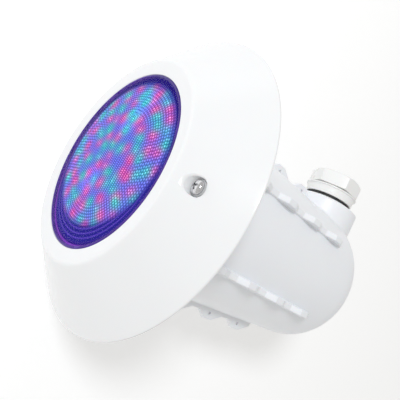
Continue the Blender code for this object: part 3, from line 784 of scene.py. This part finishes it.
def build_outlet():
    """The cable outlet: O-ring, threaded adapter and cap nut."""
    seat = OUTLET_SEAT
    turns = [math.tau * step / 20 for step in range(20)]
    torus = [Vector((25.8 + 1.42 * math.cos(turn), seat + 1.75 + 1.45 * math.sin(turn))) for turn in turns]
    dress(turned("o_ring", torus, on_outlet_axis, 144), "seal_black", "niche", "seal_black",
          "outlet_o_ring")
    low, high, top = seat + 3.5, seat + 14.0, seat + 27.4
    outline = rounded([
        (22.4, top, 0.8), (22.4, high), (30.8, high, 0.5), (30.8, high - 1.4, 0.5), (29.2, high - 2.0, 0.3),
        (28.2, low, 0.9), (22.4, low), (22.4, seat - 20.0, 0.6), (17.5, seat - 20.0, 0.6),
        (17.5, high - 3.0), (18.8, high - 1.5), (18.8, top, 0.4)], 4)
    dress(turned("adapter", divided(outline, 5.0), on_outlet_axis, 144), "gland_white", "niche",
          "niche_white", "outlet_adapter")
    nut_low, nut_high = seat + 16.2, seat + 32.8
    outline = rounded([
        (9.0, nut_high, 0.8), (26.4, nut_high, 1.2), (30.9, nut_high - 2.9, 1.0),
        (30.9, nut_low + 1.2, 0.8), (29.6, nut_low, 0.4), (22.8, nut_low), (22.8, top + 0.6), (18.2, top + 0.6),
        (18.2, seat + 25.8), (8.0, seat + 25.8), (8.0, nut_high - 0.8)], 5)
    nut = turned("cap_nut", divided(outline, 0.7), on_outlet_axis, 480, limit=inside_hexagon)
    dress(nut, "gland_white", "outlet_nut_turning", "niche_white", "outlet_cap_nut")


# ---- circuit boards -------------------------------------------------------------------------------
def block(name, x, z, size, low, high, turn=0.0):
    """A small part on a board: a slightly tapered block with a bevelled top, seen from the front."""
    half_x, half_z = size[0] / 2, size[1] / 2
    layers = [(low, 1.0), (low + (high - low) * 0.85, 0.97), (high, 0.88)]
    points, faces = [], []
    for height, part in layers:
        for side_x, side_z in ((-1, -1), (1, -1), (1, 1), (-1, 1)):
            away_x, away_z = side_x * half_x * part, side_z * half_z * part
            points.append((x + away_x * math.cos(turn) - away_z * math.sin(turn), -height,
                           z + away_x * math.sin(turn) + away_z * math.cos(turn)))
    for layer in range(len(layers) - 1):
        for side in range(4):
            ahead = (side + 1) % 4
            faces.append((4 * layer + side, 4 * layer + ahead,
                          4 * layer + 4 + ahead, 4 * layer + 4 + side))
    faces.append((3, 2, 1, 0))
    faces.append(tuple(4 * (len(layers) - 1) + corner for corner in range(4)))
    return mesh_object(name, points, faces)


def build_board_parts():
    """The LED packages on the front board and the parts of the driver behind it."""
    packages = []
    low = LED_BOARD_FRONT
    for number, (x, z, turn) in enumerate(led_sites()):
        if math.hypot(x, z) < BOARD_R - 4.0:
            packages.append(block(f"led_{number + 1}", x, z, (5.0, 5.0), low, low + 1.6, turn))
    dress(joined(*packages), "board_white", "light", "board_white")
    low = DRIVER_BOARD_FRONT
    parts = [block("inductor", -12.0, 2.0, (14.0, 14.0), low, low + 6.5),
             block("controller", 8.0, 6.0, (9.0, 9.0), low, low + 1.6),
             block("bridge", 22.0, -8.0, (9.0, 6.0), low, low + 2.6),
             block("connector", -26.0, 0.0, (8.0, 16.0), low, low + 7.0)]
    parts += [block(f"resistor_{index + 1}", 2.0 + 5.0 * index, -12.0, (3.2, 1.8), low, low + 0.9)
              for index in range(4)]
    dress(joined(*parts), "seal_black", "light", "board_green")


# ---- carried-over CAD nodes -----------------------------------------------------------------------
def dress_cad_nodes():
    """Materials for the CAD nodes that stay as they are."""
    looks = {"lens_gasket": "seal_grey", "lamp_housing": "ring_white", "lamp_clamp_ring": "stainless",
             "led_board": "board_white", "heat_spreader": "aluminium", "driver_board": "board_green",
             "face_screw_insert": "brass", "face_screw_washer": "seal_grey",
             "lamp_gland_body": "gland_white", "lamp_gland_nut": "gland_white",
             "lamp_gland_locknut": "gland_white", "lamp_gland_o_ring": "seal_black",
             "lamp_gland_seal": "seal_black", "lamp_gland_washer": "stainless",
             "outlet_seal": "seal_black", "outlet_washer": "stainless"}
    for name, node in NODES.items():
        look = looks.get(name, "stainless" if "screw" in name else None)
        if look is None:
            continue
        node.data.materials.clear()
        node.data.materials.append(LOOKS[look])


# ---- camera, light and floor ----------------------------------------------------------------------
def build_camera():
    """The camera, above the light's face and looking down at it with the lens to the left."""
    camera = bpy.data.objects.new("camera", bpy.data.cameras.new("camera"))
    camera.data.sensor_width, camera.data.lens = 36.0, 45.0
    camera.data.clip_start = 0.01
    right, up = Vector((-0.454, 0.668, 0.589)), Vector((-0.882, -0.430, -0.1935))
    back = right.cross(up).normalized()
    up = back.cross(right).normalized()
    pose = Matrix((right.normalized(), up, back)).transposed().to_4x4()
    pose.translation = Vector((0.0491, -0.2293, 0.3794))
    camera.matrix_world = pose
    bpy.context.scene.collection.objects.link(camera)
    bpy.context.scene.camera = camera


def key_light():
    """One soft disc light, aimed at the middle of the object."""
    light = bpy.data.lights.new("key", "AREA")
    light.shape, light.size, light.energy = "DISK", 0.45, 20.0
    light.color = (0.94, 0.965, 1.0)
    lamp = bpy.data.objects.new("key", light)
    lamp.location = (-0.58, -1.33, 1.58)
    aim = Vector((0.0, 0.08, 0.0))
    lamp.rotation_euler = (lamp.location - aim).to_track_quat("Z", "Y").to_euler()
    bpy.context.scene.collection.objects.link(lamp)


def build_stage():
    """The pale floor, the even surrounding light and the key light."""
    floor_z = min(CAD_BOX[0][2], CAD_BOX[1][2]) - 0.0005
    reach, cells = 9.0, 24
    mesh = bpy.data.meshes.new("floor")
    form = bmesh.new()
    bmesh.ops.create_grid(form, x_segments=cells, y_segments=cells, size=reach)
    bmesh.ops.translate(form, verts=form.verts, vec=(0.0, 0.0, floor_z))
    form.to_mesh(mesh)
    form.free()
    floor = bpy.data.objects.new("floor", mesh)
    bpy.context.scene.collection.objects.link(floor)
    material, tree, shader = principled("studio_floor")
    tone = ramp(tree, noise(tree, 1.5, 1.0), (0.3, (0.95, 0.95, 0.95)), (0.7, (0.97, 0.97, 0.97)))
    tree.links.new(tone, shader.inputs["Base Color"])
    shader.inputs["Emission Color"].default_value = (1.0, 1.0, 1.0, 1.0)
    shader.inputs["Emission Strength"].default_value = 0.17
    shader.inputs["Roughness"].default_value = 0.9
    shader.inputs["Specular IOR Level"].default_value = 0.1
    mesh.materials.append(material)

    world = bpy.data.worlds.new("studio")
    world.use_nodes = True
    background = world.node_tree.nodes["Background"]
    background.inputs["Color"].default_value = (1.0, 0.99, 0.965, 1.0)
    background.inputs["Strength"].default_value = 0.62
    bpy.context.scene.world = world
    key_light()
    scene = bpy.context.scene
    scene.view_settings.view_transform = "Standard"
    scene.view_settings.look = "None"


build_ring()
build_lens()
build_lens_prisms()
build_face_screw()
build_niche()
build_outlet()
build_board_parts()
dress_cad_nodes()
build_camera()
build_stage()
